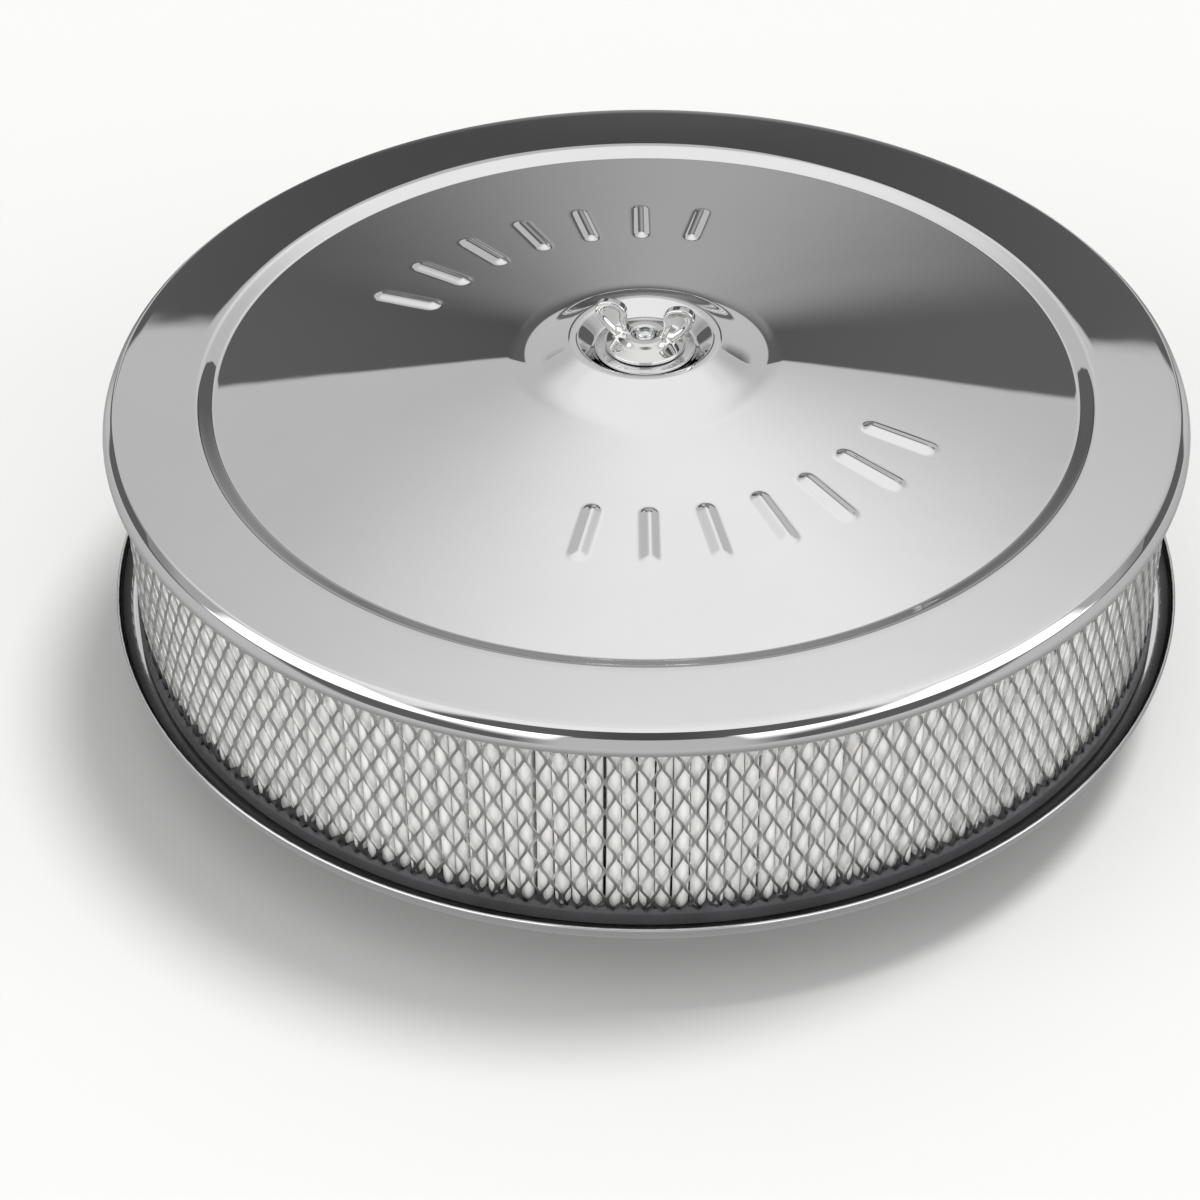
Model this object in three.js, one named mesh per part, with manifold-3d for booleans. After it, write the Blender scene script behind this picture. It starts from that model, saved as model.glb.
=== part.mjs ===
// Round carburettor air cleaner, 14 x 3 inch class, as a three.js scene graph.
// Millimetres, +Z up. The origin is under the middle of the part, in the plane that it stands on.
//
// From the bottom up: a foam gasket, a chromed base pan with a dropped neck, a pleated paper element
// between two moulded seals and two screens, a chromed lid, a washer and a wing nut on a centre stud.

import * as THREE from 'three';
import Module from 'manifold-3d';
import { mergeVertices } from 'three/addons/utils/BufferGeometryUtils.js';

const wasm = await Module();
wasm.setup();

// ---- Driving dimensions ----------------------------------------------------------------------

const SHEET = 1.0; // thickness of the pressed steel
const GAP = 0.3; // air between pieces that rest on each other
const ROUND = 64; // facets round the large turned pieces
const SMALL_ROUND = 32; // facets round the stud, nut and washer

const LID_RADIUS = 178.0; // 14 inches across
const LID_SKIRT = 7.3; // how far the rolled edge hangs below the flange
const LID_CREASE = 174.4; // where the flange turns down into the rolled edge
const LID_SHOULDER = 176.5; // the rolled edge's middle corner, and how far it lies below the flange
const SHOULDER_DROP = 2.1;
const SKIRT_DROP = 5.4; // where the rolled edge has turned straight down
const FLANGE_INNER = 146.8; // where the flat flange steps down to the recess
const RECESS_RADIUS = 142.0;
const RECESS_DEPTH = 2.0;
const CONE_INNER = 39.0; // where the shallow cone meets the foot of the boss
const CONE_HEIGHT = 7.75;

const BASE_RADIUS = 181.5;
const BASE_LIP = 6.9; // height of the turned-up lip
const BASE_EDGE_ROLL = 4.0;
const NECK_RADIUS = 65.1; // 5 1/8 inch carburettor neck
const NECK_LIP = 8.0; // height of the neck's turned-up edge
const NECK_SEAT = 80.0; // outer radius of the flat seat round the neck
const BASE_DROP = 22.2; // the seat lies 7/8 inch below the pan
const DROP_BEND = 138.0; // where the pan's steep outer wall meets the slope to the seat
const DROP_RISE = 14.0; // height of that bend above the seat

const GASKET_THICKNESS = 3.2;
const STACK = 80.4; // underside of the pan to the top of the lid's flange

const SEAL_HEIGHT = 5.8;
const SEAL_INNER = 150.5;
const SEAL_OUTER = 174.6;
const SCREEN_THICKNESS = 0.5;
const OUTER_SCREEN = 173.3; // outer radius
const INNER_SCREEN = 151.9; // inner radius
const PLEATS = 210;

const STUD_RADIUS = 3.175; // 1/4 inch
const STUD_HOLE = 4.0; // hole for the stud in the lid and the washer
const STUD_ABOVE_NUT = 0.5;
const NUT_BORE = 3.35;
const DISH_RADIUS = 16.9; // floor of the dish the nut sits in
const DISH_HEIGHT = 10.6; // nut dish floor above the flange
const RIM_INNER = 22.2; // the rim round the dish
const RIM_OUTER = 25.0;
const RIM_HEIGHT = 15.0;
const WASHER_RADIUS = 16.4;
const WASHER_THICKNESS = 1.0;
const HUB_HEIGHT = 4.3;
const NUT_FLANGE = 13.4;
const WING_THICKNESS = 2.6;
const WING_TURN = THREE.MathUtils.degToRad(-13);

const BEAD_LENGTH = 25.0; // pressed beads on the lid
const BEAD_WIDTH = 6.0;
const BEAD_HEIGHT = 1.0;
const BEAD_CIRCLE = 90.0;
const BEADS_PER_ARC = 7;
const BEAD_SPACING = THREE.MathUtils.degToRad(12.6);
const BEAD_ARCS = [-65, 115].map(THREE.MathUtils.degToRad);

// ---- Heights worked out from them --------------------------------------------------------------

const SEAT_Z = GASKET_THICKNESS + GAP; // underside of the neck's seat
const PAN_Z = SEAT_Z + BASE_DROP; // underside of the pan
const FLANGE_Z = PAN_Z + STACK; // top of the lid's flange
const ELEMENT_BOTTOM = PAN_Z + SHEET + GAP;
const ELEMENT_TOP = FLANGE_Z - SHEET - GAP;
const MEDIA_BOTTOM = ELEMENT_BOTTOM + SEAL_HEIGHT + GAP;
const MEDIA_TOP = ELEMENT_TOP - SEAL_HEIGHT - GAP;
const MEDIA_HEIGHT = MEDIA_TOP - MEDIA_BOTTOM;
const WASHER_Z = FLANGE_Z + DISH_HEIGHT + GAP;
const NUT_Z = WASHER_Z + WASHER_THICKNESS + GAP;
const STUD_TOP = NUT_Z + HUB_HEIGHT + STUD_ABOVE_NUT;
const STUD_BOTTOM = 1.0;

// ---- Materials ---------------------------------------------------------------------------------

function finish(color, roughness, metalness) {
  return new THREE.MeshStandardMaterial({ color, roughness, metalness });
}

const CHROME = [0xd9dadb, 0.08, 1.0];
const NUT_CHROME = [0xe2e2e0, 0.12, 1.0];
const ZINC = [0xb9bcbe, 0.35, 1.0];
const SCREEN_STEEL = [0x9c9c98, 0.45, 0.9];
const PAPER = [0xe9e8e2, 0.9, 0.0];
const SEAL_RUBBER = [0x3a3a3c, 0.6, 0.0];
const GASKET_FOAM = [0x1c1c1e, 0.9, 0.0];

// ---- Geometry helpers --------------------------------------------------------------------------

const point = (x, y) => new THREE.Vector2(x, y);

/** The path through corners [radius, height, bend]; a corner with a bend becomes an arc. */
function bentPath(corners, largestStep = Math.PI / 6) {
  const path = [];
  corners.forEach(([x, y, bend = 0], i) => {
    const corner = point(x, y);
    if (bend === 0) {
      path.push(corner);
      return;
    }
    const back = point(...corners[i - 1]).sub(corner).normalize();
    const ahead = point(...corners[i + 1]).sub(corner).normalize();
    const turn = Math.PI - Math.acos(back.dot(ahead));
    const side = -Math.sign(back.cross(ahead));
    const start = corner.clone().addScaledVector(back, bend * Math.tan(turn / 2));
    const centre = back.clone().add(ahead).normalize();
    centre.multiplyScalar(bend / Math.cos(turn / 2)).add(corner);
    const steps = Math.ceil(turn / largestStep);
    for (let k = 0; k <= steps; k += 1) {
      path.push(start.clone().rotateAround(centre, (side * turn * k) / steps));
    }
  });
  return path;
}

/** A sheet's closed profile: the path, and the same path moved sideways by the thickness. */
function sheetProfile(path, thickness) {
  const normals = path.slice(1).map((next, i) => {
    const along = next.clone().sub(path[i]).normalize();
    return point(-along.y, along.x);
  });
  const moved = path.map((p, i) => {
    const before = normals[Math.max(i - 1, 0)];
    const after = normals[Math.min(i, normals.length - 1)];
    const mitre = before.clone().add(after);
    return p.clone().addScaledVector(mitre, thickness / (1 + before.dot(after)));
  });
  return [...path, ...moved.reverse()];
}

/** A closed profile of [radius, height] turned round the Z axis, facing out. */
function turned(profile, segments = ROUND) {
  const loop = THREE.ShapeUtils.isClockWise(profile) ? [...profile].reverse() : [...profile];
  const geometry = new THREE.LatheGeometry([...loop, loop[0]], segments);
  return geometry.rotateX(Math.PI / 2);
}

/** A ring of rectangular section, with its outer edges chamfered if asked. */
function ring(inner, outer, bottom, top, segments = ROUND, chamfer = 0) {
  const profile = [point(inner, bottom), point(outer - chamfer, bottom)];
  if (chamfer > 0) {
    profile.push(point(outer, bottom + chamfer), point(outer, top - chamfer));
  } else {
    profile.push(point(outer, bottom));
  }
  profile.push(point(outer - chamfer, top), point(inner, top));
  return turned(profile.filter((p, i) => i === 0 || !p.equals(profile[i - 1])), segments);
}

/** A flat outline raised to the given height. */
function raised(shape, height, curveSegments = 4) {
  return new THREE.ExtrudeGeometry(shape, { depth: height, bevelEnabled: false, curveSegments });
}

function toManifold(geometry) {
  const bare = geometry.clone();
  bare.deleteAttribute('normal');
  bare.deleteAttribute('uv');
  const merged = mergeVertices(bare, 1e-4);
  return new wasm.Manifold(
    new wasm.Mesh({
      numProp: 3,
      vertProperties: new Float32Array(merged.attributes.position.array),
      triVerts: new Uint32Array(merged.index.array),
    }),
  );
}

/** One closed geometry made of several that run into each other. */
function joined(geometries) {
  const whole = geometries.map(toManifold).reduce((sum, next) => sum.add(next));
  const mesh = whole.getMesh();
  const geometry = new THREE.BufferGeometry();
  geometry.setAttribute('position', new THREE.BufferAttribute(mesh.vertProperties, 3));
  geometry.setIndex(new THREE.BufferAttribute(mesh.triVerts, 1));
  return geometry;
}

// ---- Housing -----------------------------------------------------------------------------------

/** The lid's upper surface, from the stud hole to the bottom of the skirt, above the flange plane. */
function lidPath() {
  return bentPath([
    [STUD_HOLE, DISH_HEIGHT],
    [DISH_RADIUS, DISH_HEIGHT],
    [RIM_INNER, RIM_HEIGHT, 1.8],
    [RIM_OUTER, RIM_HEIGHT, 2.4],
    [CONE_INNER, CONE_HEIGHT, 28],
    [RECESS_RADIUS, -RECESS_DEPTH],
    [FLANGE_INNER, 0],
    [LID_CREASE, 0, 1.8],
    [LID_SHOULDER, -SHOULDER_DROP, 3],
    [LID_RADIUS, -SKIRT_DROP, 5],
    [LID_RADIUS, -LID_SKIRT],
  ]);
}

/** One pressed bead, a bar with round ends lying on the cone, before it is turned to its place. */
function lidBead() {
  const half = (BEAD_LENGTH - BEAD_WIDTH) / 2;
  const outline = new THREE.Shape();
  outline.absarc(half, 0, BEAD_WIDTH / 2, -Math.PI / 2, Math.PI / 2);
  outline.absarc(-half, 0, BEAD_WIDTH / 2, Math.PI / 2, (3 * Math.PI) / 2);
  const coneFall = (CONE_HEIGHT + RECESS_DEPTH) / (RECESS_RADIUS - CONE_INNER);
  const coneHeight = CONE_HEIGHT - (BEAD_CIRCLE - CONE_INNER) * coneFall;
  const bead = raised(outline, BEAD_HEIGHT + SHEET / 2);
  bead.translate(0, 0, -SHEET / 2);
  bead.rotateY(Math.atan(coneFall));
  return bead.translate(BEAD_CIRCLE, 0, FLANGE_Z + coneHeight);
}

function lid() {
  const shell = turned(sheetProfile(lidPath(), -SHEET)).translate(0, 0, FLANGE_Z);
  const beads = BEAD_ARCS.flatMap((middle) =>
    Array.from({ length: BEADS_PER_ARC }, (_, i) => {
      const offset = (i - (BEADS_PER_ARC - 1) / 2) * BEAD_SPACING;
      return lidBead().rotateZ(middle + offset);
    }),
  );
  return joined([shell, ...beads]);
}

/** The base pan's lower surface, from the neck's edge to the top of the outer lip. */
function basePath() {
  return bentPath([
    [NECK_RADIUS, SEAT_Z + NECK_LIP],
    [NECK_RADIUS, SEAT_Z],
    [NECK_SEAT, SEAT_Z],
    [DROP_BEND, SEAT_Z + DROP_RISE],
    [FLANGE_INNER, PAN_Z],
    [BASE_RADIUS, PAN_Z, BASE_EDGE_ROLL],
    [BASE_RADIUS, PAN_Z + BASE_LIP],
  ]);
}

function basePlate() {
  return turned(sheetProfile(basePath(), SHEET));
}

function neckGasket() {
  return ring(NECK_RADIUS + 0.5, NECK_SEAT - 1.5, 0, GASKET_THICKNESS);
}

// ---- Filter element ----------------------------------------------------------------------------

function seal(bottom) {
  return ring(SEAL_INNER, SEAL_OUTER, bottom, bottom + SEAL_HEIGHT, ROUND, 1.2);
}

function screen(innerRadius) {
  return ring(innerRadius, innerRadius + SCREEN_THICKNESS, MEDIA_BOTTOM, MEDIA_TOP);
}

/** A star-shaped closed line: the paper's folds, alternately at the crest and valley radius. */
function foldLine(crest, valley) {
  return Array.from({ length: 2 * PLEATS }, (_, i) => {
    const angle = (i * Math.PI) / PLEATS;
    const radius = i % 2 === 0 ? crest : valley;
    return point(radius * Math.cos(angle), radius * Math.sin(angle));
  });
}

const CREST = OUTER_SCREEN - SCREEN_THICKNESS - 2 * GAP;
const VALLEY = INNER_SCREEN + SCREEN_THICKNESS + 2 * GAP;
const FOLD_DEPTH = 3.6; // radial thickness of the folded paper: 0.5 mm across its steep walls

function filterPaper() {
  const outline = new THREE.Shape(foldLine(CREST, VALLEY + FOLD_DEPTH));
  outline.holes.push(new THREE.Path(foldLine(CREST - FOLD_DEPTH, VALLEY)));
  return raised(outline, MEDIA_HEIGHT).translate(0, 0, MEDIA_BOTTOM);
}

const CLIP_DEPTH = 5.5;
const CLIP_WIDTH = 1.8;
const CLIP_SHEET = 0.5;
const CLIP_VALLEY = Math.PI / 2; // half of PLEATS is odd, so a valley lies at +Y

/** The folded strip that holds the paper's two ends, standing in one outward-facing valley. */
function pleatClip() {
  const half = CLIP_WIDTH / 2;
  const web = half - CLIP_SHEET;
  const section = new THREE.Shape([
    point(0, -half),
    point(CLIP_DEPTH, -half),
    point(CLIP_DEPTH, -web),
    point(CLIP_SHEET, -web),
    point(CLIP_SHEET, web),
    point(CLIP_DEPTH, web),
    point(CLIP_DEPTH, half),
    point(0, half),
  ]);
  const clip = raised(section, MEDIA_HEIGHT);
  clip.translate(CREST - CLIP_DEPTH - 0.5, 0, MEDIA_BOTTOM);
  return clip.rotateZ(CLIP_VALLEY);
}

// ---- Stud, washer and wing nut -----------------------------------------------------------------

function centreStud() {
  const chamfer = 0.6;
  const profile = [
    point(0, STUD_BOTTOM),
    point(STUD_RADIUS - chamfer, STUD_BOTTOM),
    point(STUD_RADIUS, STUD_BOTTOM + chamfer),
    point(STUD_RADIUS, STUD_TOP - chamfer),
    point(STUD_RADIUS - chamfer, STUD_TOP),
    point(0, STUD_TOP),
  ];
  return new THREE.LatheGeometry(profile, SMALL_ROUND).rotateX(Math.PI / 2);
}

function nutWasher() {
  return ring(STUD_HOLE, WASHER_RADIUS, WASHER_Z, WASHER_Z + WASHER_THICKNESS, SMALL_ROUND);
}

/** One wing of the nut: a leaf that rises from the hub and leans outwards. */
function wing() {
  const outline = new THREE.Shape();
  outline.moveTo(5.6, 1.0);
  outline.lineTo(10.6, 1.0);
  outline.quadraticCurveTo(13.6, 4.6, 15.8, 10.6);
  outline.bezierCurveTo(17.0, 14.2, 13.4, 15.6, 11.4, 15.4);
  outline.bezierCurveTo(8.4, 15.0, 6.0, 13.6, 6.4, 10.6);
  outline.quadraticCurveTo(6.8, 6.4, 5.6, 3.0);
  const leaf = raised(outline, WING_THICKNESS, 5);
  leaf.translate(0, 0, -WING_THICKNESS / 2);
  return leaf.rotateX(Math.PI / 2);
}

function wingNut() {
  const hub = turned(
    [
      point(NUT_BORE, 0),
      point(NUT_FLANGE, 0),
      point(NUT_FLANGE, 1.0),
      point(9.2, 2.2),
      point(7.2, HUB_HEIGHT),
      point(NUT_BORE, HUB_HEIGHT),
    ],
    SMALL_ROUND,
  );
  const nut = joined([hub, wing(), wing().rotateZ(Math.PI)]);
  return nut.rotateZ(WING_TURN).translate(0, 0, NUT_Z);
}

// ---- Assembly ----------------------------------------------------------------------------------

function part(name, geometry, [color, roughness, metalness]) {
  const mesh = new THREE.Mesh(geometry, finish(color, roughness, metalness));
  mesh.name = name;
  return mesh;
}

const filterElement = new THREE.Group();
filterElement.add(
  part('bottom_seal', seal(ELEMENT_BOTTOM), SEAL_RUBBER),
  part('top_seal', seal(ELEMENT_TOP - SEAL_HEIGHT), SEAL_RUBBER),
  part('outer_screen', screen(OUTER_SCREEN - SCREEN_THICKNESS), SCREEN_STEEL),
  part('inner_screen', screen(INNER_SCREEN), SCREEN_STEEL),
  part('filter_paper', filterPaper(), PAPER),
  part('pleat_clip', pleatClip(), ZINC),
);

const airCleaner = new THREE.Group();
airCleaner.add(
  part('neck_gasket', neckGasket(), GASKET_FOAM),
  part('base_plate', basePlate(), CHROME),
  part('center_stud', centreStud(), ZINC),
  filterElement,
  part('lid', lid(), CHROME),
  part('nut_washer', nutWasher(), ZINC),
  part('wing_nut', wingNut(), NUT_CHROME),
);

export default airCleaner;
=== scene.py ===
"""Looks of the round chromed air cleaner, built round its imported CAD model.

Blender units are metres. Sections are drawn in millimetres as (radius, height) points and turned round
the Z axis; `MM` brings them to metres. Heights come from the frame's nodes.
"""

import math

import bmesh
import bpy
import numpy as np
from mathutils import Euler, Matrix, Vector


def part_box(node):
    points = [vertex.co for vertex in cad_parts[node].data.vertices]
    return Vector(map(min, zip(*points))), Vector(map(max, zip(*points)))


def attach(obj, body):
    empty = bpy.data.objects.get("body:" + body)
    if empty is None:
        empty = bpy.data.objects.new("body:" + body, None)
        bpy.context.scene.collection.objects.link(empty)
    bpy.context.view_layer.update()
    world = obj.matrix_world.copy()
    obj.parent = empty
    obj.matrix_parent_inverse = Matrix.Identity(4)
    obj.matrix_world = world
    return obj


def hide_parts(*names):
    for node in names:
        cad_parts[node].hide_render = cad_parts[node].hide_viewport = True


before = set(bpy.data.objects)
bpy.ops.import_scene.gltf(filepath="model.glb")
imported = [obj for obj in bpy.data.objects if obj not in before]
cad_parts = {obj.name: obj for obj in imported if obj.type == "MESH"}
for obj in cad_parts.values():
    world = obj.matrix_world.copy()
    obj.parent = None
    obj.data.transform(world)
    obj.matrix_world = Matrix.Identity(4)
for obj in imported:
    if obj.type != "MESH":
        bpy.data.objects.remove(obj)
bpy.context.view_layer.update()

MM = 0.001


# ---- Places taken from the frame, in millimetres -----------------------------------------------------


def node_box(name):
    """A CAD node's lowest and highest corners, in millimetres."""
    low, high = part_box(name)
    return low / MM, high / MM


LID_LOW, LID_HIGH = node_box("lid")
BASE_LOW, BASE_HIGH = node_box("base_plate")
TOP_SEAL_LOW, TOP_SEAL_HIGH = node_box("top_seal")
BOTTOM_SEAL_LOW, BOTTOM_SEAL_HIGH = node_box("bottom_seal")
SCREEN_LOW, SCREEN_HIGH = node_box("outer_screen")
INNER_HIGH = node_box("inner_screen")[1]
PAPER_HIGH = node_box("filter_paper")[1]
STUD_LOW, STUD_HIGH = node_box("center_stud")
WASHER_LOW, WASHER_HIGH = node_box("nut_washer")
NUT_LOW = node_box("wing_nut")[0]
GASKET_LOW, GASKET_HIGH = node_box("neck_gasket")

SHEET = 1.0
LID_RADIUS = LID_HIGH.x
LID_SKIRT = 7.3
FLANGE_Z = LID_LOW.z + LID_SKIRT
BASE_RADIUS = BASE_HIGH.x
BASE_LIP = 6.9
PAN_Z = BASE_HIGH.z - BASE_LIP
SEAT_Z = BASE_LOW.z


# ---- Mesh helpers ------------------------------------------------------------------------------------


def mesh_object(name, points, faces, smooth=True, scale=MM):
    """A mesh object from points in millimetres, with its faces turned outwards."""
    mesh = bpy.data.meshes.new(name)
    mesh.from_pydata((np.asarray(points, float) * scale).tolist(), [], faces)
    work = bmesh.new()
    work.from_mesh(mesh)
    bmesh.ops.recalc_face_normals(work, faces=work.faces)
    work.to_mesh(mesh)
    work.free()
    mesh.polygons.foreach_set("use_smooth", [smooth] * len(mesh.polygons))
    mesh.update()
    piece = bpy.data.objects.new(name, mesh)
    bpy.context.scene.collection.objects.link(piece)
    return piece


BEND_STEPS = 5  # the fewest steps in a bend
STRAIGHT = 1e-4  # radians; a corner that turns less than this is left as a point


def bent_path(corners, step_degrees=9.0):
    """The path through corners (radius, height, bend); a corner with a bend becomes an arc."""
    path = []
    for i, corner in enumerate(corners):
        here = np.array(corner[:2], float)
        bend = corner[2] if len(corner) > 2 else 0.0
        if bend == 0.0:
            path.append(here)
            continue
        back = np.array(corners[i - 1][:2], float) - here
        ahead = np.array(corners[i + 1][:2], float) - here
        back /= np.linalg.norm(back)
        ahead /= np.linalg.norm(ahead)
        turn = math.pi - math.acos(np.clip(back @ ahead, -1, 1))
        if turn < STRAIGHT:
            path.append(here)
            continue
        side = -np.sign(back[0] * ahead[1] - back[1] * ahead[0])
        start = here + back * bend * math.tan(turn / 2)
        middle = back + ahead
        centre = here + middle / np.linalg.norm(middle) * bend / math.cos(turn / 2)
        arm = start - centre
        steps = max(BEND_STEPS, math.ceil(math.degrees(turn) / step_degrees))
        for k in range(steps + 1):
            a = side * turn * k / steps
            cos, sin = math.cos(a), math.sin(a)
            path.append(centre + np.array([arm[0] * cos - arm[1] * sin, arm[0] * sin + arm[1] * cos]))
    return np.array(path)


def refine(path, longest, low=None, high=None):
    """The path with long steps divided, within a range of radii if one is given."""
    out = [path[0]]
    for a, b in zip(path[:-1], path[1:]):
        inside = low is None or (min(a[0], b[0]) < high and max(a[0], b[0]) > low)
        pieces = max(1, math.ceil(np.linalg.norm(b - a) / longest)) if inside else 1
        for k in range(1, pieces + 1):
            out.append(a + (b - a) * k / pieces)
    return np.array(out)


def offset_path(path, distance):
    """The path moved sideways, to its left if the distance is positive."""
    along = np.diff(path, axis=0)
    along /= np.linalg.norm(along, axis=1)[:, None]
    normal = np.stack([-along[:, 1], along[:, 0]], 1)
    before = np.vstack([normal[:1], normal])
    after = np.vstack([normal, normal[-1:]])
    mitre = before + after
    reach = distance / (1 + (before * after).sum(1))
    return path + mitre * reach[:, None]


def sheet_loop(path, thickness, edge_points=3):
    """A pressed sheet's closed section: the path, its other side, and rounded edges between them."""
    other = offset_path(path, thickness)

    def edge(a, b, outward):
        middle, half = (a + b) / 2, (b - a) / 2
        angles = np.linspace(0, math.pi, edge_points + 2)[1:-1]
        size = np.linalg.norm(half)
        return [middle - half * math.cos(t) + outward * size * math.sin(t) for t in angles]

    end_out = path[-1] - path[-2]
    start_out = path[0] - path[1]
    end = edge(path[-1], other[-1], end_out / np.linalg.norm(end_out))
    start = edge(other[0], path[0], start_out / np.linalg.norm(start_out))
    return np.array([*path, *end, *other[::-1], *start])


def rounded_loop(corners, step_degrees=15.0):
    """A closed section through corners (radius, height, bend), every corner rounded."""
    wrapped = [corners[-1], *corners, corners[0]]
    path = bent_path([wrapped[0][:2], *wrapped[1:-1], wrapped[-1][:2]], step_degrees)
    return path[1:-1]


def grid_faces(rows, columns, close_rows=False, close_columns=False):
    """Quads over a grid of points numbered row by row."""
    r = np.arange(rows if close_rows else rows - 1)
    c = np.arange(columns if close_columns else columns - 1)
    rr, cc = np.meshgrid(r, c, indexing="ij")
    rn, cn = (rr + 1) % rows, (cc + 1) % columns
    quads = np.stack([rr * columns + cc, rr * columns + cn, rn * columns + cn, rn * columns + cc], -1)
    return quads.reshape(-1, 4).tolist()


def revolve(name, loop, segments=360, shape=None):
    """A closed section turned round the Z axis; shape(radius, angle, height) may lift its points."""
    angles = np.arange(segments) * 2 * math.pi / segments
    radius, angle = np.meshgrid(loop[:, 0], angles, indexing="ij")
    height = np.repeat(loop[:, 1:2], segments, axis=1)
    if shape is not None:
        height = shape(radius, angle, height)
    points = np.stack([radius * np.cos(angle), radius * np.sin(angle), height], -1)
    faces = grid_faces(len(loop), segments, close_rows=True, close_columns=True)
    return mesh_object(name, points.reshape(-1, 3), faces)


def smoothstep(low, high, value):
    """0 at low and 1 at high, easing in and out between them; low may be the larger."""
    t = np.clip((value - low) / (high - low), 0, 1)
    return t * t * (3 - 2 * t)


# ---- Material helpers --------------------------------------------------------------------------------


class Nodes:
    """Short calls that add and join nodes in one tree."""

    def __init__(self, tree):
        self.tree = tree

    def add(self, kind, **settings):
        node = self.tree.nodes.new(kind)
        for key, value in settings.items():
            setattr(node, key, value)
        return node

    def join(self, source, target):
        self.tree.links.new(source, target)

    def remap(self, source, low, high, new_low=0.0, new_high=1.0, smooth=False):
        """The source's range low..high brought to new_low..new_high, and held at its ends."""
        node = self.add("ShaderNodeMapRange", interpolation_type="SMOOTHSTEP" if smooth else "LINEAR")
        sockets = ("From Min", "From Max", "To Min", "To Max")
        for socket, value in zip(sockets, (low, high, new_low, new_high)):
            node.inputs[socket].default_value = value
        self.join(source, node.inputs["Value"])
        return node.outputs["Result"]

    def math(self, operation, a, b=None):
        """One Math node; a and b are numbers or other nodes' outputs."""
        node = self.add("ShaderNodeMath", operation=operation)
        for socket, value in zip(node.inputs, (a, b)):
            if isinstance(value, (int, float)):
                socket.default_value = value
            elif value is not None:
                self.join(value, socket)
        return node.outputs["Value"]

    def rise(self, source, low, high):
        """0 up to low and 1 from high on, with a soft step between."""
        return self.remap(source, low, high, 0.0, 1.0, True)

    def fall(self, source, low, high):
        """1 up to low and 0 from high on, with a soft step between."""
        return self.remap(source, low, high, 1.0, 0.0, True)

    def total(self, *terms):
        """The sum of numbers and outputs."""
        result = terms[0]
        for term in terms[1:]:
            result = self.math("ADD", result, term)
        return result

    def product(self, *factors):
        """The product of numbers and outputs."""
        result = factors[0]
        for factor in factors[1:]:
            result = self.math("MULTIPLY", result, factor)
        return result


class Shader(Nodes):
    """A material under construction on a Principled surface."""

    def __init__(self, name, **sockets):
        self.material = bpy.data.materials.new(name)
        self.material.use_nodes = True
        super().__init__(self.material.node_tree)
        self.surface = self.tree.nodes["Principled BSDF"]
        for socket, value in sockets.items():
            self.surface.inputs[socket.replace("_", " ")].default_value = value
        self.where = self.add("ShaderNodeTexCoord").outputs["Object"]

    def feed(self, source, socket):
        self.join(source, self.surface.inputs[socket])

    def stretched(self, scale):
        """The object's own coordinates, scaled differently along each axis."""
        node = self.add("ShaderNodeMapping")
        node.inputs["Scale"].default_value = scale
        self.join(self.where, node.inputs["Vector"])
        return node.outputs["Vector"]

    def noise(self, scale, detail=3.0, roughness=0.5, vector=None):
        node = self.add("ShaderNodeTexNoise")
        node.inputs["Scale"].default_value = scale
        node.inputs["Detail"].default_value = detail
        node.inputs["Roughness"].default_value = roughness
        self.join(vector or self.where, node.inputs["Vector"])
        return node.outputs["Fac"]

    def cells(self, scale):
        """Distance from the middle of the nearest cell, for a foam's pores."""
        node = self.add("ShaderNodeTexVoronoi")
        node.inputs["Scale"].default_value = scale
        self.join(self.where, node.inputs["Vector"])
        return node.outputs["Distance"]

    def height(self):
        node = self.add("ShaderNodeSeparateXYZ")
        self.join(self.where, node.inputs["Vector"])
        return node.outputs["Z"]

    def blend(self, factor, first, second):
        """A colour between two, each a colour or another node's output."""
        node = self.add("ShaderNodeMix", data_type="RGBA")
        self.join(factor, node.inputs["Factor"])
        for socket, value in ((node.inputs[6], first), (node.inputs[7], second)):
            if isinstance(value, tuple):
                socket.default_value = (*value, 1.0)
            else:
                self.join(value, socket)
        return node.outputs[2]

    def bump(self, source, strength, distance, below=None):
        node = self.add("ShaderNodeBump")
        node.inputs["Strength"].default_value = strength
        node.inputs["Distance"].default_value = distance
        self.join(source, node.inputs["Height"])
        if below is not None:
            self.join(below, node.inputs["Normal"])
        return node.outputs["Normal"]


def chrome_material(name, tone, smoothness, waviness):
    """Chrome plate on steel: a faint orange peel, hairline scratches and a little uneven polish."""
    s = Shader(name, Base_Color=(*tone, 1.0), Metallic=1.0)
    polish = s.noise(38.0, 4.0, 0.6)
    hairs = s.noise(90.0, 2.0, 0.6, s.stretched((1.0, 34.0, 1.0)))
    uneven = s.remap(polish, 0.35, 0.7, smoothness, smoothness * 2.2)
    scratched = s.remap(hairs, 0.62, 0.8, 0.0, 0.03)
    s.feed(s.math("ADD", uneven, scratched), "Roughness")
    haze = s.remap(s.noise(14.0, 5.0, 0.65), 0.4, 0.75)
    s.feed(s.blend(haze, tone, tuple(c * 0.965 for c in tone)), "Base Color")
    s.feed(s.bump(s.noise(24.0, 2.0), 0.25, waviness), "Normal")
    return s.material


def zinc_material():
    """Bright zinc plate with a fine grain."""
    s = Shader("zinc_plate", Metallic=1.0)
    grain = s.noise(420.0, 3.0, 0.6)
    s.feed(s.blend(s.noise(60.0, 4.0), (0.62, 0.63, 0.64), (0.74, 0.74, 0.73)), "Base Color")
    s.feed(s.remap(grain, 0.3, 0.7, 0.12, 0.26), "Roughness")
    s.feed(s.bump(grain, 0.3, 0.00003), "Normal")
    return s.material


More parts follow.
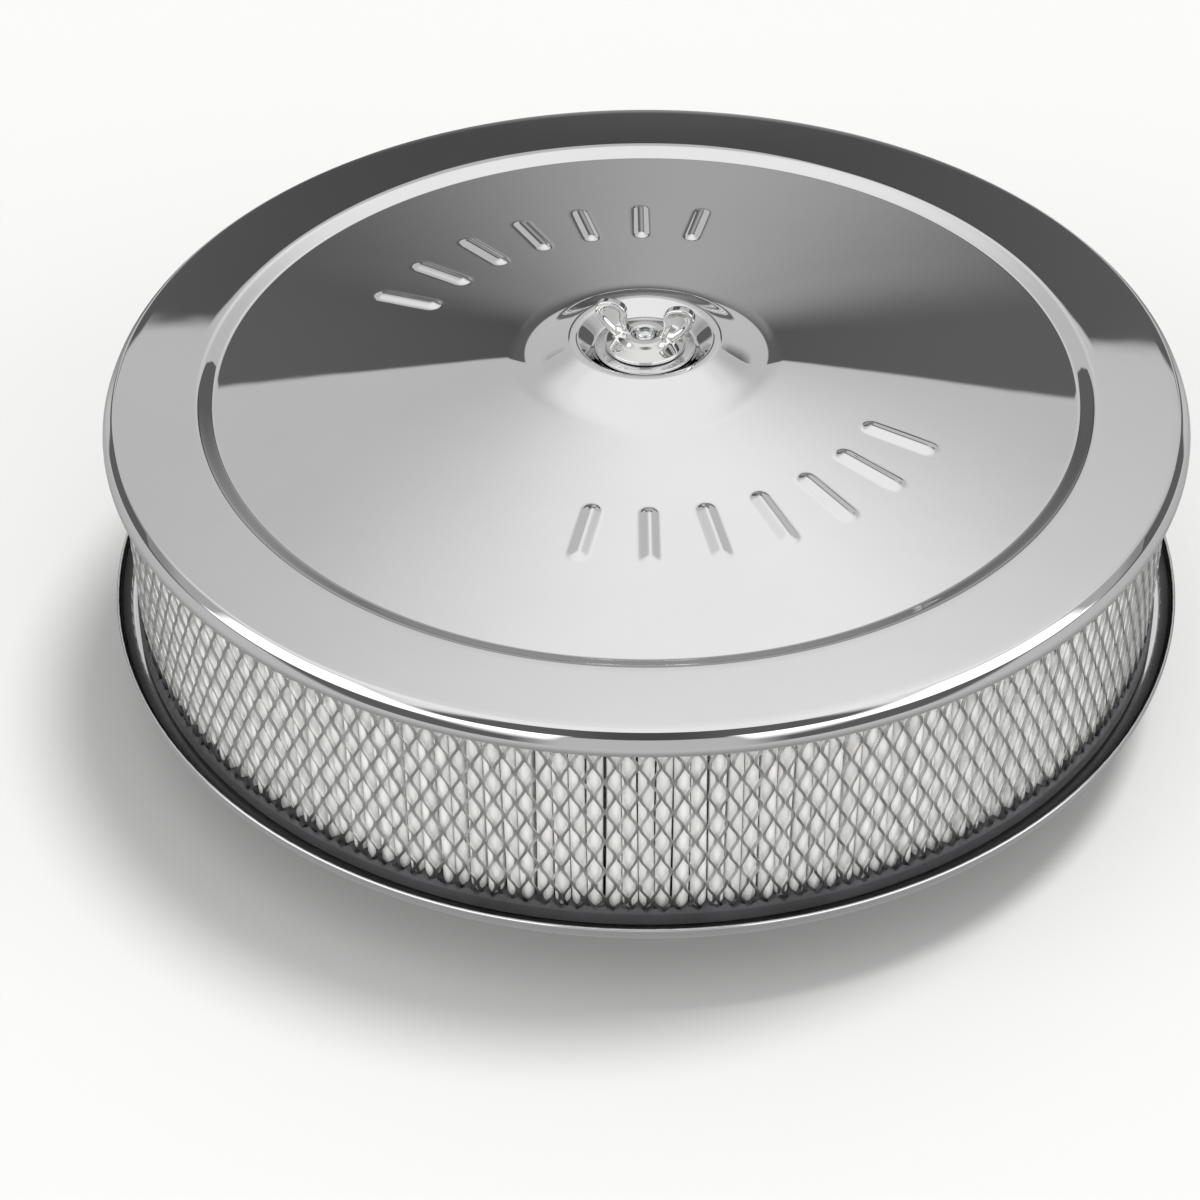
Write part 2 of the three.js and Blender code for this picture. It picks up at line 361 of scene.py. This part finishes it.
def screen_material(low, high):
    """Galvanised strand metal, wetted dark by the seals at its two ends, low and high in millimetres."""
    s = Shader("expanded_metal", Metallic=1.0)
    spangle = s.noise(260.0, 4.0, 0.65)
    steel = s.blend(s.remap(spangle, 0.3, 0.7), (0.46, 0.46, 0.455), (0.62, 0.62, 0.61))
    ragged = s.math("MULTIPLY", s.math("SUBTRACT", s.noise(170.0, 2.0), 0.5), 0.006)
    level = s.math("ADD", s.height(), ragged)
    near_low = s.remap(level, low * MM, low * MM + 0.009, 1.0, 0.0)
    near_high = s.remap(level, high * MM - 0.005, high * MM)
    wetted = s.math("MAXIMUM", near_low, near_high)
    s.feed(s.blend(wetted, steel, (0.05, 0.05, 0.052)), "Base Color")
    s.feed(s.remap(spangle, 0.3, 0.7, 0.34, 0.52), "Roughness")
    s.feed(s.bump(spangle, 0.25, 0.00008), "Normal")
    return s.material


def paper_material():
    """Resin-treated filter paper: long fibres, a soft tooth and slight mottling."""
    s = Shader("filter_paper", Roughness=0.92)
    fibres = s.noise(900.0, 5.0, 0.7, s.stretched((1.0, 1.0, 0.22)))
    mottle = s.noise(90.0, 4.0, 0.6)
    tint = s.total(s.product(fibres, 0.5), s.product(mottle, 0.5))
    s.feed(s.blend(s.remap(tint, 0.35, 0.65), (0.87, 0.87, 0.85), (0.95, 0.945, 0.925)), "Base Color")
    s.feed(s.bump(fibres, 0.5, 0.00012), "Normal")
    return s.material


def rubber_material(name, tone, tooth, cell_scale=None):
    """Moulded rubber with a fine tooth, or foam if it has cells."""
    s = Shader(name)
    fine = s.noise(700.0, 4.0, 0.6)
    cloudy = s.noise(45.0, 4.0)
    s.feed(s.blend(s.remap(cloudy, 0.3, 0.7), tone, tuple(c * 1.6 for c in tone)), "Base Color")
    s.feed(s.remap(fine, 0.3, 0.7, 0.5, 0.72), "Roughness")
    relief = s.bump(fine, 0.4, tooth)
    if cell_scale is not None:
        relief = s.bump(s.cells(cell_scale), 0.6, tooth * 3, relief)
    s.feed(relief, "Normal")
    return s.material


CHROME_TONE = 0.72
CHROME = chrome_material("chrome_sheet", (CHROME_TONE,) * 3, 0.012, 0.00012)
NUT_CHROME = chrome_material("nut_chrome", (0.66, 0.66, 0.655), 0.045, 0.00006)
ZINC = zinc_material()
SCREEN_METAL = screen_material(SCREEN_LOW.z, SCREEN_HIGH.z)
PAPER = paper_material()
SEAL_RUBBER = rubber_material("seal_rubber", (0.052, 0.052, 0.055), 0.00008)
GASKET_FOAM = rubber_material("gasket_foam", (0.018, 0.018, 0.019), 0.0001, 620.0)


def place(piece, material, body, slot, *nodes):
    """Gives a piece its material, lets it ride, and lets it stand for CAD nodes. The slot argument is not
    used.
    """
    piece.data.materials.append(material)
    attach(piece, body)
    if nodes:
        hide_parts(*nodes)
    return piece


# ---- Lid ---------------------------------------------------------------------------------------------

# Heights on the lid are above its flange.
STUD_HOLE = 4.0
DISH_RADIUS = 16.9
DISH_HEIGHT = 10.6
RIM_INNER = 22.2
RIM_OUTER = 25.0
RIM_HEIGHT = 15.0
BOSS_FOOT = (39.0, 7.75)
RECESS = (142.0, -2.0)
FLANGE_INNER = 146.8
LID_CREASE = 174.4
LID_SHOULDER = (176.5, -2.1)
SKIRT_TOP = -5.4
PATH_STEP = 2.5
BEAD_STEP = 0.8
BEAD_CIRCLE = 90.0
BEAD_LENGTH = 25.0
BEAD_WIDTH = 6.0
BEAD_HEIGHT = 1.0
BEADS_PER_ARC = 7
BEAD_SPACING = math.radians(12.6)
BEAD_ARCS = (math.radians(-65), math.radians(115))


def bead_lift(radius, angle):
    """How far the pressed beads raise the sheet at a place on the lid."""
    lift = np.zeros_like(radius)
    half = (BEAD_LENGTH - BEAD_WIDTH) / 2
    for middle in BEAD_ARCS:
        for i in range(BEADS_PER_ARC):
            turn = angle - middle - (i - (BEADS_PER_ARC - 1) / 2) * BEAD_SPACING
            along = radius * np.cos(turn) - BEAD_CIRCLE
            across = radius * np.sin(turn)
            distance = np.hypot(np.maximum(np.abs(along) - half, 0), across)
            lift = np.maximum(lift, 1 - smoothstep(0.3, BEAD_WIDTH / 2 + 0.4, distance))
    return lift * BEAD_HEIGHT


def make_lid():
    """The pressed lid in one sheet, from the stud hole to the bottom of the skirt."""
    path = bent_path(
        [
            (STUD_HOLE, DISH_HEIGHT),
            (DISH_RADIUS, DISH_HEIGHT, 3.0),
            (RIM_INNER, RIM_HEIGHT, 1.8),
            (RIM_OUTER, RIM_HEIGHT, 2.4),
            (*BOSS_FOOT, 28.0),
            (*RECESS, 3.0),
            (FLANGE_INNER, 0.0, 5.0),
            (LID_CREASE, 0.0, 1.8),
            (*LID_SHOULDER, 3.0),
            (LID_RADIUS, SKIRT_TOP, 5.0),
            (LID_RADIUS, -LID_SKIRT + SHEET / 2),
        ],
        6.0,
    )
    bead_reach = BEAD_LENGTH / 2 + 2.0
    path = refine(path, BEAD_STEP, BEAD_CIRCLE - bead_reach, BEAD_CIRCLE + bead_reach)
    loop = sheet_loop(refine(path, PATH_STEP), -SHEET)
    loop[:, 1] += FLANGE_Z
    lid = revolve("lid_shell", loop, 720, lambda r, a, z: z + bead_lift(r, a))
    return place(lid, CHROME, "lid", "chrome_sheet", "lid")


# ---- Base pan ----------------------------------------------------------------------------------------

NECK_INSET = 116.4
NECK_RADIUS = BASE_RADIUS - NECK_INSET
NECK_LIP = 8.0
NECK_SEAT = 80.0
DROP_BEND = 138.0
DROP_RISE = 14.0


def make_base():
    """The pan in one sheet, from the neck's turned-up edge to the outer lip."""
    path = bent_path(
        [
            (NECK_RADIUS, SEAT_Z + NECK_LIP - SHEET / 2),
            (NECK_RADIUS, SEAT_Z, 2.0),
            (NECK_SEAT, SEAT_Z, 6.0),
            (DROP_BEND, SEAT_Z + DROP_RISE, 8.0),
            (FLANGE_INNER, PAN_Z, 3.0),
            (BASE_RADIUS, PAN_Z, 6.0),
            (BASE_RADIUS, BASE_HIGH.z - SHEET / 2),
        ],
        6.0,
    )
    loop = sheet_loop(refine(path, PATH_STEP), SHEET)
    base = revolve("base_pan", loop, 480)
    return place(base, CHROME, "base", "chrome_sheet", "base_plate")


# ---- Filter element ----------------------------------------------------------------------------------

PLEATS = 210
PAPER_THICKNESS = 0.45
SLIT = 0.12  # the least air between neighbouring crests
CREST_ROUND = 0.8  # height of a crest's curve over half its width
WIDEST_CREST = 2.45
VALLEY_HALF = 1.55
PAPER_POTTED = 2.0  # how far the paper's ends sit in the seals
CREST = PAPER_HIGH.x - 0.1
VALLEY = INNER_HIGH.x + 1.0
pleat_random = np.random.default_rng(7)
PLEAT_STEP = 2 * math.pi / PLEATS
PLEAT_PLACES = (np.arange(PLEATS) + pleat_random.uniform(-0.07, 0.07, PLEATS)) * PLEAT_STEP
CREST_DROP = pleat_random.uniform(0.0, 0.7, PLEATS)


def fold_path(height_share):
    """The paper's mid line round the element at one height, as (angle, radius) points."""
    points = []
    sway = 0.05 * np.sin(height_share * 3.0 + np.arange(PLEATS) * 1.7)
    places = PLEAT_PLACES + sway * PLEAT_STEP
    following = np.append(places[1:], places[0] + 2 * math.pi)
    gaps = (following - places) * CREST
    narrowest = np.minimum(gaps, np.roll(gaps, 1)) / 2
    crest_half = np.minimum(narrowest - SLIT / 2, WIDEST_CREST) - PAPER_THICKNESS / 2
    for k in range(PLEATS):
        half = crest_half[k]
        top = CREST - CREST_DROP[k] - half * CREST_ROUND - PAPER_THICKNESS / 2
        for t in np.linspace(0, math.pi, 9):
            angle = places[k] - half * math.cos(t) / CREST
            points.append((angle, top + half * CREST_ROUND * math.sin(t)))
        low = VALLEY + VALLEY_HALF + PAPER_THICKNESS / 2
        middle = (places[k] + following[k]) / 2
        for t in np.linspace(0, math.pi, 7):
            angle = middle - VALLEY_HALF * math.cos(t) / VALLEY
            points.append((angle, low - VALLEY_HALF * math.sin(t)))
    return np.array(points)


def make_paper():
    """The folded paper as one closed skin: up its inner side and down its outer side."""
    low, high = BOTTOM_SEAL_HIGH.z - PAPER_POTTED, TOP_SEAL_LOW.z + PAPER_POTTED
    rows = []
    levels = np.linspace(low, high, 12)
    for side in (-1, 1):
        for z in levels if side < 0 else levels[::-1]:
            polar = fold_path((z - low) / (high - low))
            angle, radius = polar[:, 0], polar[:, 1]
            flat = np.stack([radius * np.cos(angle), radius * np.sin(angle)], 1)
            along = np.roll(flat, -1, 0) - np.roll(flat, 1, 0)
            along /= np.linalg.norm(along, axis=1)[:, None]
            normal = np.stack([along[:, 1], -along[:, 0]], 1)
            moved = flat + normal * side * PAPER_THICKNESS / 2
            rows.append(np.column_stack([moved, np.full(len(moved), z)]))
    points = np.array(rows)
    faces = grid_faces(points.shape[0], points.shape[1], close_rows=True, close_columns=True)
    paper = mesh_object("pleated_paper", points.reshape(-1, 3), faces)
    return place(paper, PAPER, "element", "filter_paper", "filter_paper")


def wrapped(angle):
    """The angle brought to -pi..pi."""
    return (angle + math.pi) % (2 * math.pi) - math.pi


def crest_share(angle):
    """1 at the middle of a paper crest and 0 in the valleys beside it."""
    nearest = np.searchsorted(PLEAT_PLACES, np.mod(angle, 2 * math.pi))
    before = PLEAT_PLACES[(nearest - 1) % PLEATS]
    after = PLEAT_PLACES[nearest % PLEATS]
    gap = np.minimum(np.abs(wrapped(angle - before)), np.abs(wrapped(angle - after)))
    return np.clip(1 - gap / (PLEAT_STEP / 2), 0, 1)


SEAL_HOLE = 150.5
SEAL_FACE = (173.4, 171.0, 152.5)  # radii across the face that the paper is potted in
CREEP_RISE = 1.7
CREEP_RIPPLE = 0.35
CREEP_LEVEL = 0.7
STEPS_PER_PLEAT = 8


def make_seal(name, low, high, inward):
    """A moulded ring whose face creeps up between the pleats; inward is 1 or -1, up or down to the paper."""
    outer = high.x
    back, face = (low.z, high.z) if inward > 0 else (high.z, low.z)
    outside, middle, inside = SEAL_FACE
    loop = rounded_loop(
        [
            (SEAL_HOLE, back, 1.0),
            (outer, back, 1.4),
            (outer - 0.2, face - inward * 0.6, 0.8),
            (outside, face, 0.5),
            (middle, face),
            (inside, face, 0.3),
            (SEAL_HOLE, face - inward * 1.0, 0.8),
        ]
    )
    loop = loop if inward > 0 else loop[::-1]

    def creep(radius, angle, height):
        near = smoothstep(1.2, 0.0, np.abs(height - face)) * smoothstep(174.4, 173.2, radius)
        ripple = CREEP_RIPPLE * np.sin(angle * 61) * np.sin(angle * 23)
        rise = CREEP_RISE * (1 - crest_share(angle)) ** 0.8 + ripple
        return height + inward * near * (rise - CREEP_LEVEL)

    seal = revolve(name, loop, PLEATS * STEPS_PER_PLEAT, creep)
    return place(seal, SEAL_RUBBER, "element", "seal_rubber", name)


DIAMOND_HEIGHT = 12.05
BOND_SHARE = 0.16  # half a bond's length over half a diamond's height
STRAND_TILT = math.radians(24)
STRAND_TWIST = 0.42
STEPS_PER_ROW = 5
SCREEN_POTTED = 2.5  # how far the screens' ends sit in the seals


def make_screen(name, radius, count, width, thickness, seed):
    """Expanded metal bent round: strands that zigzag up and meet their neighbours at the bonds."""
    low, high = BOTTOM_SEAL_HIGH.z - SCREEN_POTTED, TOP_SEAL_LOW.z + SCREEN_POTTED
    random = np.random.default_rng(seed)
    half_row = DIAMOND_HEIGHT / 2
    rows = math.ceil((high - low) / half_row)
    bond = BOND_SHARE * half_row
    step = 2 * math.pi / count
    levels, sides = [], []
    for row in range(rows + 1):
        for shift in (-bond, bond):
            levels.append(row * half_row + shift)
            sides.append(row % 2)
    levels = np.array(levels)
    sides = np.array(sides, float)
    fine = np.linspace(0, high - low, rows * STEPS_PER_ROW + 1)
    swing = np.interp(fine, levels, sides)
    points, faces = [], []
    for k in range(count):
        for lean in (1, -1):
            jitter = random.normal(0, 0.03, len(fine))
            reach = step / 2 - width / radius
            offset = (swing * reach + width / 2 / radius) * lean + jitter * width / radius
            angle = k * step + offset
            twist = (0.5 - swing) * lean * STRAND_TWIST
            middle = radius + twist + random.normal(0, 0.02, len(fine))
            tilt = STRAND_TILT * lean
            cos, sin = math.cos(tilt), math.sin(tilt)
            start = len(points)
            for a, r, z in zip(angle, middle, fine + low):
                for u, w in ((-1, -1), (1, -1), (1, 1), (-1, 1)):
                    across = u * width / 2 * cos - w * thickness / 2 * sin
                    out = u * width / 2 * sin + w * thickness / 2 * cos
                    turn = a + across / radius
                    points.append(((r + out) * math.cos(turn), (r + out) * math.sin(turn), z))
            for i in range(len(fine) - 1):
                for j in range(4):
                    n = (j + 1) % 4
                    base = start + 4 * i
                    faces.append((base + j, base + n, base + 4 + n, base + 4 + j))
            last = start + 4 * (len(fine) - 1)
            faces.append((start + 3, start + 2, start + 1, start))
            faces.append((last, last + 1, last + 2, last + 3))
    screen = mesh_object(name, points, faces, smooth=False)
    return place(screen, SCREEN_METAL, "element", "expanded_metal", name)


# ---- Stud, washer, wing nut and gasket ---------------------------------------------------------------

THREAD_PITCH = 1.27
THREAD_DEPTH = 0.55
STUD_CHAMFER = 0.75


def make_stud():
    """The centre stud with its rolled 1/4-20 thread and chamfered ends."""
    around, per_turn = 40, 12
    low, high, major = STUD_LOW.z, STUD_HIGH.z, STUD_HIGH.x
    rows = int((high - low) / THREAD_PITCH * per_turn)
    z = np.linspace(low, high, rows)[:, None]
    angle = np.arange(around)[None, :] * 2 * math.pi / around
    phase = (z / THREAD_PITCH - angle / (2 * math.pi)) % 1.0
    groove = smoothstep(0.06, 0.46, np.abs(phase - 0.5))
    radius = major - THREAD_DEPTH * (1 - groove)
    taper = np.minimum(z - low, high - z)
    radius = np.minimum(radius, major - STUD_CHAMFER + taper * 0.9)
    points = np.stack([radius * np.cos(angle), radius * np.sin(angle), z + 0 * angle], -1).reshape(-1, 3)
    faces = grid_faces(rows, around, close_columns=True)
    faces.append(list(range(around))[::-1])
    faces.append([(rows - 1) * around + i for i in range(around)])
    stud = mesh_object("threaded_stud", points, faces)
    return place(stud, ZINC, "base", "zinc_steel", "center_stud")


def make_washer():
    """The stamped washer under the nut."""
    outer = WASHER_HIGH.x
    low, high = WASHER_LOW.z, WASHER_HIGH.z
    loop = rounded_loop(
        [(STUD_HOLE, low, 0.25), (outer, low, 0.3), (outer, high, 0.45), (STUD_HOLE, high, 0.25)]
    )
    washer = revolve("flat_washer", loop, 160)
    return place(washer, ZINC, "washer", "zinc_steel", "nut_washer")


def bezier(p0, p1, p2, p3, steps=10):
    """Points along a cubic curve, without its first point."""
    t = np.linspace(0, 1, steps + 1)[1:, None]
    p0, p1, p2, p3 = (np.array(p, float) for p in (p0, p1, p2, p3))
    return (1 - t) ** 3 * p0 + 3 * (1 - t) ** 2 * t * p1 + 3 * (1 - t) * t**2 * p2 + t**3 * p3


WING_TURN = math.radians(-13)
WING_MIDDLE = np.array([11.0, 10.6])
WING_RINGS = ((1.0, 1.45), (0.84, 1.7), (0.66, 1.5), (0.5, 0.75))  # share of the outline, half thickness
NUT_BORE = 3.35
NUT_FLANGE = 13.3
HUB_AROUND = 96
CAST_VOXEL = 0.22
CAST_SOFTENING = 7


def wing_outline():
    """The edge of one wing in the plane through the nut's axis, from the hub's foot round to its top."""
    out = [np.array([[4.6, 1.0], [8.6, 1.0]])]
    out.append(bezier((8.6, 1.0), (10.6, 3.4), (15.2, 6.4), (16.3, 10.6)))
    out.append(bezier((16.3, 10.6), (17.0, 13.9), (14.2, 15.45), (11.6, 15.3)))
    out.append(bezier((11.6, 15.3), (8.5, 15.1), (5.8, 13.6), (6.1, 10.4)))
    out.append(bezier((6.1, 10.4), (6.4, 7.4), (6.2, 5.6), (4.6, 4.0)))
    return np.vstack(out)


def make_wing_nut():
    """A die-cast wing nut: hub, flange and wings run together, then softened like a casting."""
    hub = rounded_loop(
        [
            (NUT_BORE, 0.0, 0.3),
            (NUT_FLANGE, 0.0, 0.4),
            (NUT_FLANGE, 1.3, 0.5),
            (9.0, 2.5, 2.2),
            (7.3, 4.3, 0.8),
            (4.3, 4.3, 0.3),
            (NUT_BORE, 3.4, 0.2),
        ]
    )
    angles = np.arange(HUB_AROUND) * 2 * math.pi / HUB_AROUND
    points = [(r * math.cos(a), r * math.sin(a), z) for r, z in hub for a in angles]
    faces = grid_faces(len(hub), HUB_AROUND, close_rows=True, close_columns=True)
    outline = wing_outline()
    count = len(outline)
    for mirror in (1, -1):
        start = len(points)
        for side in (-1, 1):
            for share, half in WING_RINGS:
                for x, z in WING_MIDDLE + (outline - WING_MIDDLE) * share:
                    points.append((mirror * x, mirror * side * half, z))
        rings = len(WING_RINGS)
        for first in (0, rings):
            for k in range(first, first + rings - 1):
                for i in range(count):
                    n = (i + 1) % count
                    a, b = start + k * count, start + (k + 1) * count
                    faces.append((a + i, a + n, b + n, b + i))
            cap = start + (first + rings - 1) * count
            faces.append([cap + i for i in range(count)])
        for i in range(count):
            n = (i + 1) % count
            a, b = start, start + rings * count
            faces.append((a + i, b + i, b + n, a + n))
    nut = mesh_object("die_cast_wing_nut", points, faces, scale=1.0)
    remesh = nut.modifiers.new("cast", "REMESH")
    remesh.mode = "VOXEL"
    remesh.voxel_size = CAST_VOXEL
    soften = nut.modifiers.new("soften", "SMOOTH")
    soften.factor, soften.iterations = 0.5, CAST_SOFTENING
    bpy.context.view_layer.update()
    mesh = bpy.data.meshes.new_from_object(nut.evaluated_get(bpy.context.evaluated_depsgraph_get()))
    nut.modifiers.clear()
    nut.data = mesh
    lift = Matrix.Translation((0, 0, NUT_LOW.z))
    mesh.transform(Matrix.Scale(MM, 4) @ lift @ Matrix.Rotation(WING_TURN, 4, "Z"))
    mesh.polygons.foreach_set("use_smooth", [True] * len(mesh.polygons))
    return place(nut, NUT_CHROME, "wing_nut", "nut_chrome", "wing_nut")


def make_gasket():
    """The foam ring under the neck's seat."""
    inner, outer = NECK_RADIUS + 0.5, GASKET_HIGH.x
    low, high = GASKET_LOW.z, GASKET_HIGH.z
    corners = ((inner, low), (outer, low), (outer, high), (inner, high))
    loop = rounded_loop([(*corner, 0.7) for corner in corners])
    gasket = revolve("foam_gasket", loop, 240)
    return place(gasket, GASKET_FOAM, "base", "gasket_foam", "neck_gasket")


# ---- Camera, floor and light -------------------------------------------------------------------------

CAMERA_FROM_LID = Vector((-0.0156, -0.7482, 0.5219))  # from the middle of the lid's flange, in metres
CAMERA_TILT = math.radians(50.43)
CAMERA_ROLL = math.radians(-0.58)
SENSOR_WIDTH = 36.0
LENS = 82.77
FLOOR_HALF = 12.0
FLOOR_GAP = 0.0002
KEY_STRENGTH = 2.35
KEY_SOFTNESS = math.radians(17)
KEY_DIRECTION = Vector((0.28, 0.2, 1.0))


def make_camera():
    """A long lens, looking down on the lid from the front."""
    data = bpy.data.cameras.new("camera")
    data.sensor_width = SENSOR_WIDTH
    data.lens = LENS
    camera = bpy.data.objects.new("camera", data)
    bpy.context.scene.collection.objects.link(camera)
    camera.location = Vector((0, 0, FLANGE_Z * MM)) + CAMERA_FROM_LID
    turn = Euler((CAMERA_TILT, 0, 0)).to_matrix() @ Matrix.Rotation(CAMERA_ROLL, 3, "Z")
    camera.rotation_euler = turn.to_euler()
    bpy.context.scene.camera = camera


def make_floor():
    """A plain pale floor just below the gasket. The chrome shows the world's lower half instead of it."""
    mesh = bpy.data.meshes.new("floor")
    corners = [(x * FLOOR_HALF, y * FLOOR_HALF, 0) for x, y in ((-1, -1), (1, -1), (1, 1), (-1, 1))]
    mesh.from_pydata(corners, [], [(0, 1, 2, 3)])
    floor = bpy.data.objects.new("floor", mesh)
    floor.location.z = -FLOOR_GAP
    bpy.context.scene.collection.objects.link(floor)
    surface = Shader("pale_floor", Base_Color=(0.57, 0.567, 0.563, 1.0), Roughness=0.95)
    mesh.materials.append(surface.material)
    floor.visible_glossy = False


def make_key():
    """A wide soft lamp nearly overhead, a little behind and to the right; it throws the part's shadow."""
    lamp = bpy.data.lights.new("key", "SUN")
    lamp.energy = KEY_STRENGTH
    lamp.angle = KEY_SOFTNESS
    key = bpy.data.objects.new("key", lamp)
    key.rotation_euler = KEY_DIRECTION.to_track_quat("Z", "Y").to_euler()
    key.visible_glossy = False
    bpy.context.scene.collection.objects.link(key)


# The studio that the chrome shows. The numbers are brightnesses as the lid reflects them.
BOX_LIGHT = 0.8
BOX_FRINGE = (0.465, 0.70)
BOX_SLANT = -2.05  # degrees that the softbox's far edge falls from left to right, per unit of x
WALL_LIGHT = 0.47
WALL_SLANT = 0.005
FRONT_BOX_LIGHT = 1.5
FRONT_FILL_LIGHT = 0.45
GLOW_LIGHT = 0.28
GLOW_MIDDLE = (3.0, 21.0, 25.0)  # azimuth, and the elevations between which it is brightest
GLOW_REACH = (16.0, 30.0, 5.5)  # degrees sideways, down and up
ROOM_LIGHT = (0.063, 0.1)
GROUND_LIGHT = (0.27, 0.47)
GROUND_BEHIND = 0.25


def make_world():
    """A studio seen in the chrome: a softbox from behind over the top, two at the front, a dim room.

    x, y and z are the direction looked in. over is the angle up from the back wall, over the top and down
    to the front; azimuth is measured from the back wall.
    """
    world = bpy.data.worlds.new("room")
    world.use_nodes = True
    n = Nodes(world.node_tree)
    split = n.add("ShaderNodeSeparateXYZ")
    n.join(n.add("ShaderNodeTexCoord").outputs["Generated"], split.inputs["Vector"])
    x, y, z = split.outputs
    degree = math.degrees(1)
    over = n.product(n.math("ARCTAN2", z, y), degree)
    azimuth = n.product(n.math("ARCTAN2", x, y), degree)
    elevation = n.product(n.math("ARCSINE", z), degree)
    aside = n.math("ABSOLUTE", x)
    turned = n.math("ABSOLUTE", azimuth)

    # The softbox overhead: where it is, and how its light falls off from its brightest line.
    lowered = n.remap(aside, 0.03, 0.12, 3.0, 0.0, True)
    edge = n.total(over, n.product(x, BOX_SLANT), lowered)
    top_box = n.product(
        n.rise(edge, 33.75, 34.25),
        n.fall(over, 124.0, 129.0),
        n.remap(aside, 0.5, 0.9, 1.0, 0.5, True),
    )
    spread = n.product(n.math("SUBTRACT", x, 0.07), n.remap(over, 50.0, 75.0, 62.0, 14.0, True))
    below = n.math("MAXIMUM", n.math("SUBTRACT", 50.0, over), 0.0)
    far = n.math("SQRT", n.total(n.product(spread, spread), n.product(below, below)))
    fringe = n.remap(over, 42.0, 62.0, *BOX_FRINGE, True)
    dimmed = n.product(n.rise(far, 2.0, 20.0), n.math("SUBTRACT", fringe, BOX_LIGHT))
    top_light = n.total(BOX_LIGHT, dimmed)

    # White walls on both sides of the dark backdrop; they come closer together towards the floor.
    wall_side = n.total(aside, n.product(n.math("SUBTRACT", 33.0, over), WALL_SLANT))
    back_walls = n.product(n.rise(wall_side, 0.315, 0.345), n.fall(aside, 0.50, 0.60), n.rise(y, 0.0, 0.2))

    # Two bright boxes beside the camera and a weaker light between them.
    front_box = n.product(
        n.rise(turned, 84.0, 92.0),
        n.fall(turned, 160.0, 166.0),
        n.rise(elevation, 4.0, 9.0),
        n.fall(elevation, 38.0, 42.0),
    )
    front_fill = n.product(n.rise(turned, 150.0, 165.0), n.fall(elevation, 28.0, 36.0))

    # A pale patch low on the backdrop.
    middle, lowest, highest = GLOW_MIDDLE
    sideways, down, up = GLOW_REACH
    glow_across = n.product(n.math("SUBTRACT", azimuth, middle), 1 / sideways)
    glow_up = n.product(n.math("SUBTRACT", elevation, highest), 1 / up)
    glow_down = n.product(n.math("SUBTRACT", lowest, elevation), 1 / down)
    glow_along = n.math("MAXIMUM", glow_up, glow_down)
    glow_squares = n.total(n.product(glow_across, glow_across), n.product(glow_along, glow_along))
    glow = n.remap(n.math("SQRT", glow_squares), 0.0, 1.0, GLOW_LIGHT, 0.0, True)

    light = n.total(n.remap(aside, 0.05, 0.25, *ROOM_LIGHT, True), glow)
    for source, brightness in (
        (top_box, top_light),
        (back_walls, WALL_LIGHT),
        (front_box, FRONT_BOX_LIGHT),
        (front_fill, FRONT_FILL_LIGHT),
    ):
        light = n.math("MAXIMUM", light, n.product(source, brightness))
    behind = n.remap(y, 0.75, 0.92, 1.0, GROUND_BEHIND, True)
    ground = n.product(n.remap(elevation, -45.0, -3.0, *GROUND_LIGHT, True), behind)
    above = n.rise(elevation, -2.0, 0.0)
    light = n.total(n.product(light, above), n.product(ground, n.math("SUBTRACT", 1.0, above)))
    background = world.node_tree.nodes["Background"]
    n.join(n.product(light, 1 / CHROME_TONE), background.inputs["Strength"])
    background.inputs["Color"].default_value = (1.0, 1.0, 1.0, 1.0)
    bpy.context.scene.world = world


def make_studio():
    """Camera, floor and light."""
    make_camera()
    make_floor()
    make_world()
    make_key()
    bpy.context.scene.view_settings.view_transform = "Standard"


# ---- Everything --------------------------------------------------------------------------------------

make_studio()
make_lid()
make_base()
make_paper()
make_seal("bottom_seal", BOTTOM_SEAL_LOW, BOTTOM_SEAL_HIGH, 1)
make_seal("top_seal", TOP_SEAL_LOW, TOP_SEAL_HIGH, -1)
make_screen("outer_screen", radius=173.0, count=165, width=0.98, thickness=0.45, seed=3)
make_screen("inner_screen", radius=152.2, count=145, width=0.78, thickness=0.4, seed=5)
make_stud()
make_washer()
make_wing_nut()
make_gasket()
pleat_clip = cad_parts["pleat_clip"]
pleat_clip.data.materials.clear()
pleat_clip.data.materials.append(ZINC)
